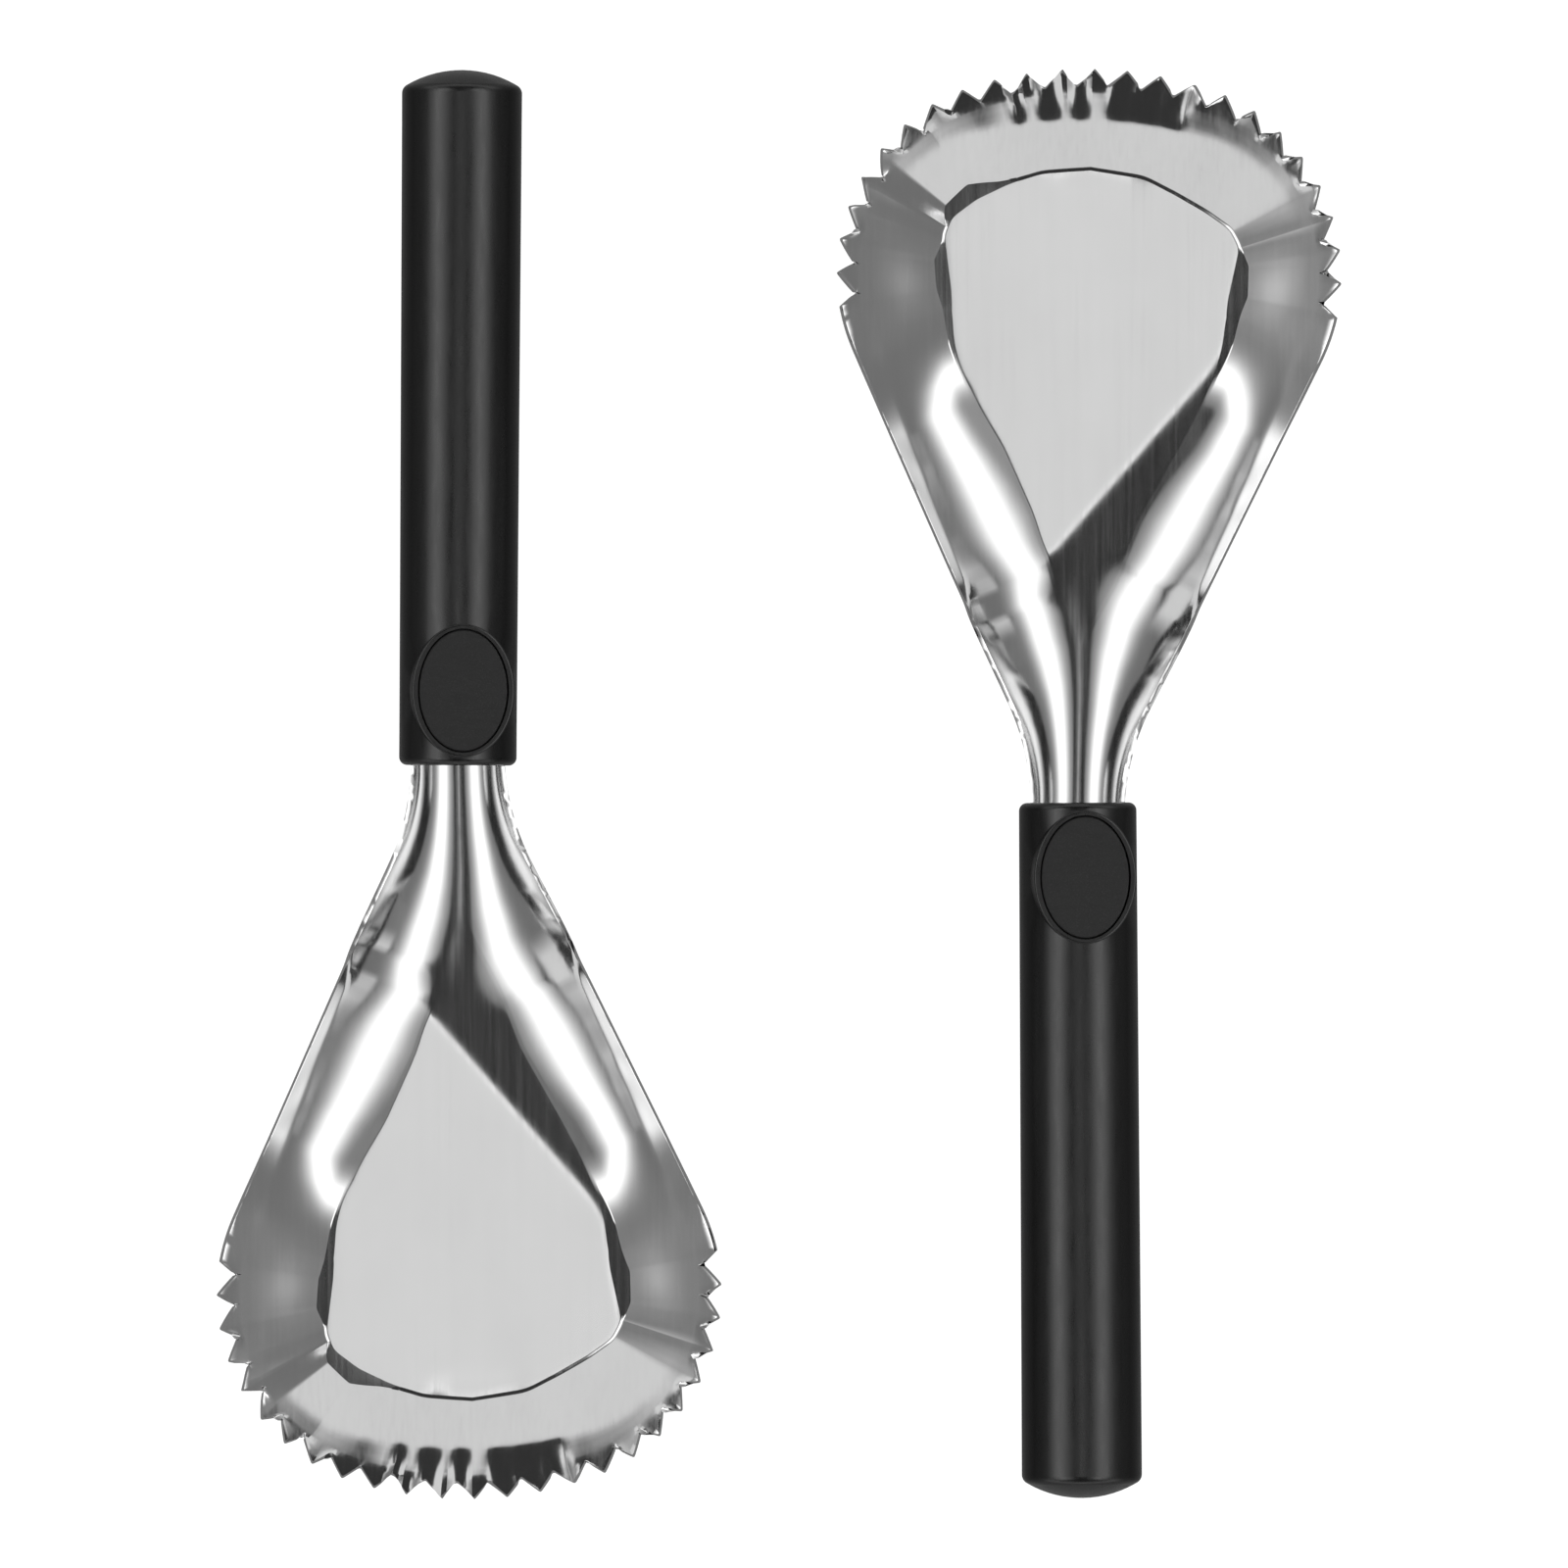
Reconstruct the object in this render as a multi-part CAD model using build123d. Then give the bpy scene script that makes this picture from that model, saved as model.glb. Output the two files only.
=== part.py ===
"""A pair of serrated sheet-steel scoops with round plastic grips, laid side by side head to tail.

Each tool is drawn in its own frame: the origin is the centre of the grip's mouth, +Y runs
towards the teeth and Z = 0 is the table that the scoop's floor rests on. Millimetres.
"""

import os
from math import atan2, cos, hypot, pi, radians, sin, sqrt, tan

from build123d import *

# Layout of the pair
tool_spacing = 115.0  # between the two grip mouths, across
blade_skew = 1.25  # the blade stands slightly askew in its grip, seen from above
grip_skew = 0.36  # the grip leans the other way
grip_roll = 6.0  # the grip is turned slightly about its own axis

# Sheet-steel scoop
sheet = 1.0
neck_half_width = 8.75  # outside the channel's walls
flare_radius = 45.0
flare_start = -2.0  # the neck begins to widen just inside the grip's mouth
flank_angle = 25.0  # half angle of the straight flanks
head_length = 136.1  # grip mouth to the middle tooth's tip
end_radius = 69.8  # toothed end of the head
corner_radius = 36.5  # its rounded corners
wall_width = 19.0  # from the rim to the flat floor, square to the rim
floor_apex = 44.0  # where the flat floor begins
neck_drop = 6.05  # the channel's bottom inside lies this far below the grip's axis
neck_rise = 0.15  # its edges stand this far above the axis
head_rim = 14.6  # height of the rim round the head
floor_bend = 10.0  # radius between floor and wall
wall_slope = 48.0
flange_bend = 4.0
flange_width = 2.2
flange_slope = 18.0
floor_lift = 0.1  # height of the floor's edge above the table
floor_crown = 0.3  # the floor bellies down by this, and is worn flat where it rests
flank_edge = 0.3  # how much of the flange's cut edge shows from above

# Teeth
tooth_pitch = 6.26
toothed_turn = 101.3  # the teeth end this far round the rim from its middle
tooth_angle = 90.0
tooth_lean = 1.0  # shift of a side notch's root, away from the grip
tooth_round = 0.3
corner_trim = 12.0  # the edge beside the last notch is straight over this length

# Tang, the part of the blade inside the grip
tang_straight = 2.5
tang_taper = 40.0
tang_length = 62.0
tang_half_width = 5.0
tang_edge_rise = 1.2

# Grip
grip_length = 129.0
grip_swell = 0.25  # the grip's domed end is this much thicker
grip_wall = 2.0
dome_radius = 20.0
dome_fillet = 1.8
mouth_fillet = 1.5
mouth_wall = 2.0
tang_clearance = 0.15

# Oval cover and its collar on the upper shell
collar_end = 0.95  # beyond the cover, along the grip
collar_side = 1.25  # beyond the cover, across the grip
collar_from_mouth = 1.5
collar_rise = 0.35  # above the grip's highest line
collar_root = 4.0  # the collar's base, above the grip's axis
collar_fillet = 0.35
cap_length = 22.7
cap_width = 16.6
cap_thickness = 2.2
cap_clearance = 0.15
cap_drop = 0.3  # below the collar's edge
cap_fillet = 0.4
seat_thickness = 2.2

# Tang screw under the cover
screw_radius = 1.5
screw_head_radius = 2.8
screw_head_height = 1.8
screw_clearance = 0.2
cross_width = 0.8
cross_depth = 0.9
tang_hole_clearance = 0.6
tower_radius = 4.0
boss_radius = 3.4
pilot_clearance = 0.05
boss_gap = 0.3  # between the tang and the shells' bosses
screw_tip_wall = 0.6  # plastic left below the screw's end

# Ribs and locating pegs inside the shells
rib_thickness = 1.6
rib_depth = 3.0
first_peg = 46.0  # from the mouth
last_peg = 10.0  # from the inside of the domed end
peg_rows = 3
peg_radius = 1.1
peg_boss_radius = 2.2
peg_inset = 1.6  # the pegs' axes stand this far inside the shells' walls
peg_height = 2.0
peg_clearance = 0.1
peg_boss_depth = 3.0

grip_mouth_radius = neck_half_width + tang_clearance + grip_wall
grip_end_radius = grip_mouth_radius + grip_swell
grip_axis = grip_end_radius  # height of the grip's axis, so that its thick end rests on Z = 0
neck_floor = grip_axis - neck_drop
neck_rim = grip_axis + neck_rise
collar_length = cap_length + 2 * collar_end
collar_width = cap_width + 2 * collar_side
flank_tan = tan(radians(flank_angle))
flank_cos = cos(radians(flank_angle))
flare_end = flare_start + flare_radius * sin(radians(flank_angle))
flare_end_width = neck_half_width + flare_radius * (1 - flank_cos)


def ease(t):
    """Smooth step from 0 to 1."""
    t = min(max(t, 0.0), 1.0)
    return t * t * (3 - 2 * t)


def flank_width(y):
    """Half width of the blade at y: straight neck, flare, then straight flanks."""
    if y <= flare_start:
        return neck_half_width
    if y < flare_end:
        return neck_half_width + flare_radius - sqrt(flare_radius**2 - (y - flare_start) ** 2)
    return flare_end_width + (y - flare_end) * flank_tan


# The corner arc touches both the straight flank and the end arc.
end_centre = head_length - end_radius
offset_start = flare_end_width - flare_end * flank_tan - corner_radius / flank_cos
reach = end_radius - corner_radius
quad_a = 1 + flank_tan**2
quad_b = flank_tan * offset_start - end_centre
quad_c = offset_start**2 + end_centre**2 - reach**2
corner_y = (-quad_b + sqrt(quad_b**2 - quad_a * quad_c)) / quad_a
corner_x = offset_start + corner_y * flank_tan
tangent_turn = atan2(corner_x, corner_y - end_centre)  # from +Y to the arcs' common point
end_run = end_radius * tangent_turn
corner_start = corner_y - corner_radius * sin(radians(flank_angle))  # flank meets corner arc
toothed_run = end_run + corner_radius * (radians(toothed_turn) - tangent_turn)


def rim_point(run, inset=0.0):
    """Point on the toothed edge, run millimetres from its middle, moved inwards by inset."""
    side = -1 if run < 0 else 1
    run = abs(run)
    if run <= end_run:
        turn = run / end_radius
        return side * (end_radius - inset) * sin(turn), end_centre + (end_radius - inset) * cos(turn)
    turn = tangent_turn + (run - end_run) / corner_radius
    x = corner_x + (corner_radius - inset) * sin(turn)
    return side * x, corner_y + (corner_radius - inset) * cos(turn)


def rim_distance(x, y):
    """Distance inwards from the rim, seen from above."""
    x = abs(x)
    turn = atan2(x - corner_x, y - corner_y)
    if turn > pi / 2 + radians(flank_angle) or y < corner_start:
        return (flank_width(y) - x) * flank_cos
    if y > end_centre and atan2(x, y - end_centre) < tangent_turn:
        return end_radius - hypot(x, y - end_centre)
    return corner_radius - hypot(x - corner_x, y - corner_y)


def dish_rise(inward):
    """Share of the full depth at a distance inwards from the rim: flange, wall, bend, floor."""
    steep, flat = radians(wall_slope), radians(flange_slope)
    bend_in = floor_bend * sin(steep)
    bend_up = floor_bend * (1 - cos(steep))
    lip_in = flange_bend * (sin(steep) - sin(flat))
    lip_up = flange_bend * (cos(flat) - cos(steep))
    wall_in = wall_width - bend_in - lip_in - flange_width
    wall_up = wall_in * tan(steep)
    full = bend_up + wall_up + lip_up + flange_width * tan(flat)
    out = wall_width - inward
    if out <= 0:
        return 0.0
    if out <= bend_in:
        return (floor_bend - sqrt(floor_bend**2 - out**2)) / full
    if out <= bend_in + wall_in:
        return (bend_up + (out - bend_in) * tan(steep)) / full
    if out <= bend_in + wall_in + lip_in:
        along = flange_bend * sin(steep) - (out - bend_in - wall_in)
        rise = sqrt(flange_bend**2 - along**2) - flange_bend * cos(steep)
        return (bend_up + wall_up + rise) / full
    flange = (out - bend_in - wall_in - lip_in) * tan(flat)
    return (bend_up + wall_up + lip_up + flange) / full


def floor_height(y):
    """Height of the blade's lowest line, inside."""
    bottom = sheet + floor_lift
    return bottom + (neck_floor - bottom) * (1 - ease(y / floor_apex))


def rim_height(y):
    """Height of the blade's edge, which dips to the tang's nearly flat strip inside the grip."""
    if y < -tang_straight:
        fade = ease((-tang_straight - y) / tang_taper)
        return neck_rim + (neck_floor + tang_edge_rise - neck_rim) * fade
    return neck_rim + (head_rim - neck_rim) * ease(y / corner_start)


def half_width(y):
    """Half width of the sheet's inner surface; past the flanks it overhangs the toothed rim."""
    width = flank_width(y) - sheet + (sheet - flank_edge) * ease(y / floor_apex)
    if y < -tang_straight:
        fade = ease((-tang_straight - y) / tang_taper)
        width += (tang_half_width - neck_half_width) * fade
    if y > corner_start:
        width -= flank_tan * (y - corner_start) ** 2 / (head_length - corner_start) / 2
    return width


def edge_turn(y):
    """Slope angle at the edge of a round section of the blade at y."""
    return 2 * atan2(rim_height(y) - floor_height(y), half_width(y))


def sheet_height(x, y):
    """Height of the sheet's inner surface."""
    low, high = floor_height(y), rim_height(y)
    width = half_width(y)
    radius = width / sin(edge_turn(y))
    trough = low + radius - sqrt(max(radius**2 - min(abs(x), width) ** 2, 0.0))
    dished = ease((y - floor_apex) / (corner_start - floor_apex))
    if dished == 0:
        return trough
    inward = rim_distance(x, y)
    dish = low + (high - low) * dish_rise(inward)
    belly = floor_crown * ease((inward - wall_width) / wall_width * 2)
    return trough + (dish - trough) * dished - belly * dished


def make_sheet():
    """The blade's bent sheet, which still overhangs where the teeth are cut from it."""
    columns, rows = 12, 44
    low, high = -tang_length, head_length + 3
    grid = []
    for row in range(rows + 1):
        y = low + (high - low) * row / rows
        turn = edge_turn(y)
        line = []
        for column in range(-columns, columns + 1):
            x = half_width(y) * sin(turn * column / columns) / sin(turn)
            line.append((x, y, sheet_height(x, y)))
        grid.append(line)
    inside = Face.make_surface_from_array_of_points(grid, tol=0.1)
    return Part() + Solid.thicken(inside, sheet)


def make_outline():
    """The blade seen from above: open past the flanks, with the teeth round the head."""
    clear = head_length / 2
    tooth_depth = tooth_pitch / 2 / tan(radians(tooth_angle / 2))
    trim_y = corner_start - corner_trim
    half = [(clear, -tang_length - sheet), (clear, trim_y), (flank_width(trim_y) + sheet / 2, trim_y)]
    for step in range(int(toothed_run / tooth_pitch), 0, -1):
        half.append(rim_point(step * tooth_pitch))
        run = (step - 0.5) * tooth_pitch
        lean = tooth_lean * ease((run - end_run / 2) / end_run)
        half.append(rim_point(run - lean, tooth_depth))
    teeth = half[3:]
    points = half + [rim_point(0)] + [(-x, y) for x, y in reversed(half)]
    face = Sketch() + make_face(Polyline(*points, close=True))
    corners = [rim_point(0)] + teeth + [(-x, y) for x, y in teeth]
    sharp = [
        vertex
        for vertex in face.vertices()
        if any(hypot(vertex.X - x, vertex.Y - y) < tooth_round for x, y in corners)
    ]
    return fillet(sharp, tooth_round)


def in_tool(shape):
    """Move a piece of the grip, drawn about its own axis, to its place in the tool."""
    return Rot(0, 0, grip_skew) * Pos(0, 0, grip_axis) * Rot(0, grip_roll, 0) * shape


def in_blade(shape):
    """Turn a piece drawn with the blade to its place in the tool."""
    return Rot(0, 0, -blade_skew) * shape


def rod_y(radius, low, high, x=0.0, z=0.0):
    """Round bar along Y."""
    return Pos(x, (low + high) / 2, z) * Rot(90, 0, 0) * Cylinder(radius, high - low)


def rod_z(radius, low, high, x=0.0, y=0.0):
    """Round bar along Z."""
    return Pos(x, y, (low + high) / 2) * Cylinder(radius, high - low)


def oval_z(length, width, low, high):
    """Oval bar along Z, at the cover's place."""
    return Pos(0, cover_y, low) * extrude(Ellipse(width / 2, length / 2), high - low)


def turned(points):
    """Solid of revolution about Y from (radius, y) corners."""
    return revolve(make_face(Polyline(*points, close=True)), Axis.Y)


cover_y = -collar_from_mouth - collar_length / 2
collar_top = grip_mouth_radius + collar_rise
seat_top = collar_top - cap_drop - cap_thickness
dome_rise = dome_radius - sqrt(dome_radius**2 - grip_end_radius**2)
hollow_back = -grip_length + dome_rise + grip_wall
peg_offset = grip_mouth_radius - grip_wall - peg_inset
peg_step = (hollow_back + last_peg + first_peg) / (peg_rows - 1)
peg_places = [-first_peg + peg_step * row for row in range(peg_rows)]
rib_places = [place + peg_step / 2 for place in peg_places[:-1]]
channel_radius = half_width(-mouth_wall) / sin(edge_turn(-mouth_wall))
channel_centre = neck_floor + channel_radius
tang_radius = half_width(cover_y) / sin(edge_turn(cover_y))
tower_side = tower_radius + neck_drop * sin(radians(grip_roll))
tower_rise = tang_radius - sqrt(tang_radius**2 - tower_side**2)
tower_foot = neck_floor + tower_rise + boss_gap - grip_axis
boss_top = neck_floor - sheet - boss_gap - grip_axis
screw_seat = seat_top - screw_head_height - screw_clearance
screw_tip = -grip_mouth_radius + screw_tip_wall


def make_blade():
    """Bowl, toothed rim, channel-shaped neck and tang, bent from one sheet."""
    outline = extrude(make_outline(), head_length / 2)
    hole = rod_z(screw_radius + tang_hole_clearance, screw_tip, 0, y=cover_y)
    return in_blade(make_sheet() & outline) - in_tool(hole)


def grip_body():
    """The grip's outside, with the cover's collar."""
    knee = -grip_length + dome_rise
    body = turned([(0, knee), (grip_end_radius, knee), (grip_mouth_radius, 0), (0, 0)])
    dome = Pos(0, dome_radius - grip_length, 0) * Sphere(dome_radius)
    body += dome & rod_y(grip_end_radius, -2 * grip_length, knee)
    body = fillet(body.edges().filter_by(GeomType.CIRCLE).sort_by(Axis.Y)[0], dome_fillet)
    body = fillet(body.edges().filter_by(GeomType.CIRCLE).sort_by(Axis.Y)[-1], mouth_fillet)
    collar = oval_z(collar_length, collar_width, collar_root, collar_top)
    return body + fillet(collar.edges().group_by(Axis.Z)[-1], collar_fillet)


def grip_hollow():
    """The space inside the grip, open at the mouth."""
    inner_end, inner_mouth = grip_end_radius - grip_wall, grip_mouth_radius - grip_wall
    return turned([(0, hollow_back), (inner_end, hollow_back), (inner_mouth, 0), (0, 0)])


def half_space(side):
    """The grip's upper (side 1) or lower (side -1) half."""
    depth = 2 * grip_end_radius
    return Pos(0, -grip_length / 2, side * depth / 2) * Box(4 * depth, grip_length + 4, depth)


def channel_bar(radius):
    """Bar along the channel-shaped neck, over the grip's mouth wall."""
    return in_blade(rod_y(radius, -mouth_wall - 0.5, 0.5, z=channel_centre))


def make_upper_grip():
    """Upper shell: collar with the cover's seat, screw tower and the plug inside the neck."""
    upper = half_space(1)
    hollow = grip_hollow()
    mouth = hollow & rod_y(grip_end_radius, -mouth_wall, 0)
    shell = ((grip_body() - hollow) + mouth) & upper
    block_top = collar_top - 2 * collar_fillet
    shell += oval_z(collar_length, collar_width, seat_top - seat_thickness, block_top)
    for place in rib_places:
        shell += inner_rib(place) & upper
    for place in peg_places:
        for side in (-1, 1):
            shell += rod_z(peg_boss_radius, 0, peg_boss_depth, side * peg_offset, place)
            depth = peg_height + peg_clearance
            shell -= rod_z(peg_radius + peg_clearance, 0, depth, side * peg_offset, place)
    shell += rod_z(tower_radius, tower_foot, seat_top, y=cover_y)
    room = cap_clearance * 2
    shell -= oval_z(cap_length + room, cap_width + room, seat_top, collar_top)
    shell -= rod_z(screw_head_radius + screw_clearance, screw_seat, seat_top, y=cover_y)
    shell -= rod_z(screw_radius + screw_clearance, tower_foot, screw_seat, y=cover_y)
    plug = in_tool(mouth) & channel_bar(channel_radius - tang_clearance)
    slot = channel_bar(channel_radius + sheet + tang_clearance)
    slot -= channel_bar(channel_radius - tang_clearance)
    slot &= Pos(0, 0, neck_rim + tang_clearance - 50) * Box(100, 100, 100)
    return (in_tool(shell) - slot) + plug


def make_lower_grip():
    """Lower shell: plain half tube with the screw's boss and the pegs."""
    lower = half_space(-1)
    hollow = grip_hollow()
    mouth = hollow & rod_y(grip_end_radius, -mouth_wall, 0)
    shell = ((grip_body() - hollow) + mouth) & lower
    for place in rib_places:
        shell += inner_rib(place) & lower
    for place in peg_places:
        for side in (-1, 1):
            shell += rod_z(peg_boss_radius, -peg_boss_depth, 0, side * peg_offset, place)
            shell += rod_z(peg_radius, 0, peg_height, side * peg_offset, place)
    shell += rod_z(boss_radius, -grip_mouth_radius + grip_wall / 2, boss_top, y=cover_y)
    shell -= rod_z(screw_radius + pilot_clearance, screw_tip, boss_top, y=cover_y)
    return in_tool(shell) - channel_bar(channel_radius + sheet + tang_clearance)


def inner_rib(place):
    """Stiffening ring inside the grip at one place along it."""
    ring = rod_y(grip_mouth_radius - grip_wall / 2, place - rib_thickness / 2, place + rib_thickness / 2)
    return ring - rod_y(grip_mouth_radius - grip_wall - rib_depth, place - 5, place + 5)


def make_screw():
    """Pan-head screw through the tang, with a cross recess."""
    screw = rod_z(screw_head_radius, screw_seat, screw_seat + screw_head_height, y=cover_y)
    screw = fillet(screw.edges().group_by(Axis.Z)[-1], screw_head_height / 3)
    screw += rod_z(screw_radius, screw_tip, screw_seat, y=cover_y)
    top = screw_seat + screw_head_height
    for length, width in ((screw_head_radius * 1.2, cross_width), (cross_width, screw_head_radius * 1.2)):
        screw -= Pos(0, cover_y, top) * Box(length, width, cross_depth * 2)
    return in_tool(screw)


def make_cover():
    """Flat oval cover over the screw."""
    cover = oval_z(cap_length, cap_width, seat_top, seat_top + cap_thickness)
    return in_tool(fillet(cover.edges().group_by(Axis.Z)[-1], cap_fillet))


makers = {
    "blade": make_blade,
    "upper_grip": make_upper_grip,
    "lower_grip": make_lower_grip,
    "tang_screw": make_screw,
    "cover_cap": make_cover,
}
tool = {name: make() for name, make in makers.items()}
pair = {}
for name, piece in tool.items():
    pair["right_" + name] = Pos(tool_spacing / 2, 0, 0) * piece
    pair["left_" + name] = Pos(-tool_spacing / 2, 0, 0) * mirror(piece, about=Plane.XZ)

# The origin is under the middle of the pair.
shapes = list(pair.values())
low_x = min(shape.bounding_box().min.X for shape in shapes)
high_x = max(shape.bounding_box().max.X for shape in shapes)
tool_boxes = [piece.bounding_box() for piece in tool.values()]
middle_y = (min(box.min.Y for box in tool_boxes) + max(box.max.Y for box in tool_boxes)) / 2
os.makedirs("parts", exist_ok=True)
for name, piece in pair.items():
    side = 1 if name.startswith("right") else -1
    export_step(Pos(-(low_x + high_x) / 2, -side * middle_y, 0) * piece, f"parts/{name}.step")
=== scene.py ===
"""A pair of serrated steel scoops with black plastic grips, lying side by side head to tail.

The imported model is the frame. Each blade is rebuilt here as a finely formed sheet with bent,
slightly uneven teeth; the moulded grips, covers and screws keep their shapes and get finishes.
"""

import logging
from dataclasses import dataclass, field
from enum import Enum
from math import atan2, cos, hypot, pi, radians, sin, sqrt, tan

import bmesh
import bpy
import numpy as np
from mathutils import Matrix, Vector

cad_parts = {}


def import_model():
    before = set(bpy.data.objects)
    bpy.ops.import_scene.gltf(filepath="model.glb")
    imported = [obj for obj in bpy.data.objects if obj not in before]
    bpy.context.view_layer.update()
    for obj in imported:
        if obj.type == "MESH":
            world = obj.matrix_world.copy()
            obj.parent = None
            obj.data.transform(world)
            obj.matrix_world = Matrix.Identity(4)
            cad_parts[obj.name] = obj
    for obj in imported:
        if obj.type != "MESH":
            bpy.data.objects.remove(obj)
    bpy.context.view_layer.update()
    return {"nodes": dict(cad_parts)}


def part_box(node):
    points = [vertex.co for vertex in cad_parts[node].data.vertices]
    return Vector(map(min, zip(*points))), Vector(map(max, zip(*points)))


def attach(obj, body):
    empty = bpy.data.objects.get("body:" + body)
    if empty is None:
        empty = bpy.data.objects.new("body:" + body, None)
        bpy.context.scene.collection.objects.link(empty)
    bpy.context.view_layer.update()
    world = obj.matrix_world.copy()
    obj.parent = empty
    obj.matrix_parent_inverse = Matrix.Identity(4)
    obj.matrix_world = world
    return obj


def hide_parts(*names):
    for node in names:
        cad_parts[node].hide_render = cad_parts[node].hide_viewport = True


LOG = logging.getLogger("serrated_scoops")
MM = 0.001


class Side(Enum):
    """Which tool of the pair a piece belongs to; the value mirrors it along Y."""

    RIGHT = 1
    LEFT = -1


class Recipe:
    """Builds one material's node tree."""

    def __init__(self, name: str) -> None:
        """Start an empty material with its output and surface shader."""
        self.material = bpy.data.materials.new(name)
        self.material.use_nodes = True
        self.tree = self.material.node_tree
        self.tree.nodes.clear()
        output = self.tree.nodes.new("ShaderNodeOutputMaterial")
        self.shader = self.tree.nodes.new("ShaderNodeBsdfPrincipled")
        self.tree.links.new(self.shader.outputs[0], output.inputs[0])

    def add(self, kind: str, **inputs: object) -> bpy.types.Node:
        """Place a node and fill its inputs.

        Args:
            kind: The node's type name.
            **inputs: Values or sockets by input name, with spaces written as underscores.

        Returns:
            The new node.
        """
        node = self.tree.nodes.new(kind)
        for name, value in inputs.items():
            socket = node.inputs[name.replace("_", " ")]
            if isinstance(value, bpy.types.NodeSocket):
                self.tree.links.new(value, socket)
            else:
                socket.default_value = value
        return node

    def place(self) -> bpy.types.NodeSocket:
        """Coordinates fixed to the object, in metres."""
        return self.add("ShaderNodeTexCoord").outputs["Object"]

    def aside(self) -> bpy.types.NodeSocket:
        """How far the surface faces sideways, 0 on top of a lying tube and 1 at its flanks."""
        split = self.tree.nodes.new("ShaderNodeSeparateXYZ")
        self.tree.links.new(self.add("ShaderNodeTexCoord").outputs["Normal"], split.inputs[0])
        size = self.tree.nodes.new("ShaderNodeMath")
        size.operation = "ABSOLUTE"
        self.tree.links.new(split.outputs[0], size.inputs[0])
        return size.outputs[0]

    def noise(self, stretch: tuple[float, float, float], detail: float = 3.0,
              roughness: float = 0.55) -> bpy.types.NodeSocket:
        """Noise pattern whose cells are 1/stretch metres along each axis.

        Args:
            stretch: Cells per metre along X, Y and Z.
            detail: Octaves of the noise.
            roughness: Strength of the finer octaves.

        Returns:
            The pattern's value socket.
        """
        mapping = self.add("ShaderNodeMapping", Vector=self.place(), Scale=stretch)
        node = self.add("ShaderNodeTexNoise", Vector=mapping.outputs[0], Scale=1.0,
                        Detail=detail, Roughness=roughness)
        return node.outputs[0]

    def remap(self, value: bpy.types.NodeSocket, low: float, high: float,
              start: float = 0.3, end: float = 0.7) -> bpy.types.NodeSocket:
        """Spread a 0..1 pattern over a range.

        Args:
            value: The pattern.
            low: Result where the pattern is at start.
            high: Result where the pattern is at end.
            start: Pattern value that gives low.
            end: Pattern value that gives high.

        Returns:
            The mapped value socket.
        """
        node = self.tree.nodes.new("ShaderNodeMapRange")
        self.tree.links.new(value, node.inputs[0])
        for socket, number in zip(node.inputs[1:5], (start, end, low, high)):
            socket.default_value = number
        return node.outputs[0]

    def bump(self, height: bpy.types.NodeSocket, distance: float,
             under: bpy.types.NodeSocket | None = None) -> bpy.types.NodeSocket:
        """Bump of a pattern.

        Args:
            height: The pattern.
            distance: Height of the pattern, in metres.
            under: Normal of a bump below this one.

        Returns:
            The normal socket.
        """
        node = self.add("ShaderNodeBump", Height=height, Distance=distance, Strength=1.0)
        if under is not None:
            self.tree.links.new(under, node.inputs["Normal"])
        return node.outputs[0]

    def tint(self, value: bpy.types.NodeSocket, dark: float, light: float) -> bpy.types.NodeSocket:
        """Neutral grey that follows a pattern.

        Args:
            value: The pattern, 0 to 1.
            dark: Grey where it is 0.
            light: Grey where it is 1.

        Returns:
            The colour socket.
        """
        node = self.tree.nodes.new("ShaderNodeMix")
        node.data_type = "RGBA"
        self.tree.links.new(value, node.inputs[0])
        node.inputs[6].default_value = (dark, dark, dark, 1)
        node.inputs[7].default_value = (light, light, light, 1)
        return node.outputs[2]

    def wire(self, **inputs: object) -> None:
        """Fill the surface shader's inputs with values or sockets, spaces as underscores."""
        for name, value in inputs.items():
            socket = self.shader.inputs[name.replace("_", " ")]
            if isinstance(value, bpy.types.NodeSocket):
                self.tree.links.new(value, socket)
            else:
                socket.default_value = value


@dataclass(frozen=True)
class PolishedSheet:
    """Bright rolled stainless sheet with faint lines from the press."""

    name: str = "polished_sheet"
    grey: float = 0.62
    roughness: float = 0.11

    def make(self) -> bpy.types.Material:
        """Build the material."""
        r = Recipe(self.name)
        streak = r.noise((1500.0, 22.0, 400.0), 4.0, 0.6)
        cloud = r.noise((60.0, 45.0, 60.0), 3.0, 0.5)
        scratch = r.noise((260.0, 2600.0, 260.0), 2.0, 0.7)
        grain = r.bump(streak, 0.0000012)
        grain = r.bump(scratch, 0.0000006, grain)
        grain = r.bump(cloud, 0.00004, grain)
        r.wire(Base_Color=r.tint(cloud, self.grey - 0.03, self.grey + 0.03), Metallic=1.0,
               Roughness=r.remap(streak, self.roughness - 0.02, self.roughness + 0.04),
               Normal=grain)
        return r.material


@dataclass(frozen=True)
class MouldedGrip:
    """Black semi-gloss plastic with the slight waviness of a moulded tube; its reflection is turned down on
    the flanks as painted shade.
    """

    name: str = "moulded_grip"
    dark: float = 0.0035
    light: float = 0.0065
    roughness: float = 0.29
    sheen: float = 0.64
    flank_painted_shade: float = 0.14  # painted shade: the flanks reflect less than the top, set by which way they face

    def make(self) -> bpy.types.Material:
        """Build the material."""
        r = Recipe(self.name)
        grain = r.noise((5200.0, 5200.0, 5200.0), 2.0, 0.5)
        wave = r.noise((90.0, 60.0, 90.0), 2.0, 0.4)
        scuff = r.noise((700.0, 120.0, 700.0), 4.0, 0.65)
        normal = r.bump(wave, 0.00012)
        normal = r.bump(grain, 0.0000045, normal)
        r.wire(Base_Color=r.tint(scuff, self.dark, self.light),
               Roughness=r.remap(scuff, self.roughness - 0.05, self.roughness + 0.07),
               # Painted shade: the reflection level drops from the top to the flanks by which way the
               # surface faces.
               Specular_IOR_Level=r.remap(r.aside(), self.sheen, self.flank_painted_shade, 0.5, 0.8),
               Normal=normal)
        return r.material


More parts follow.
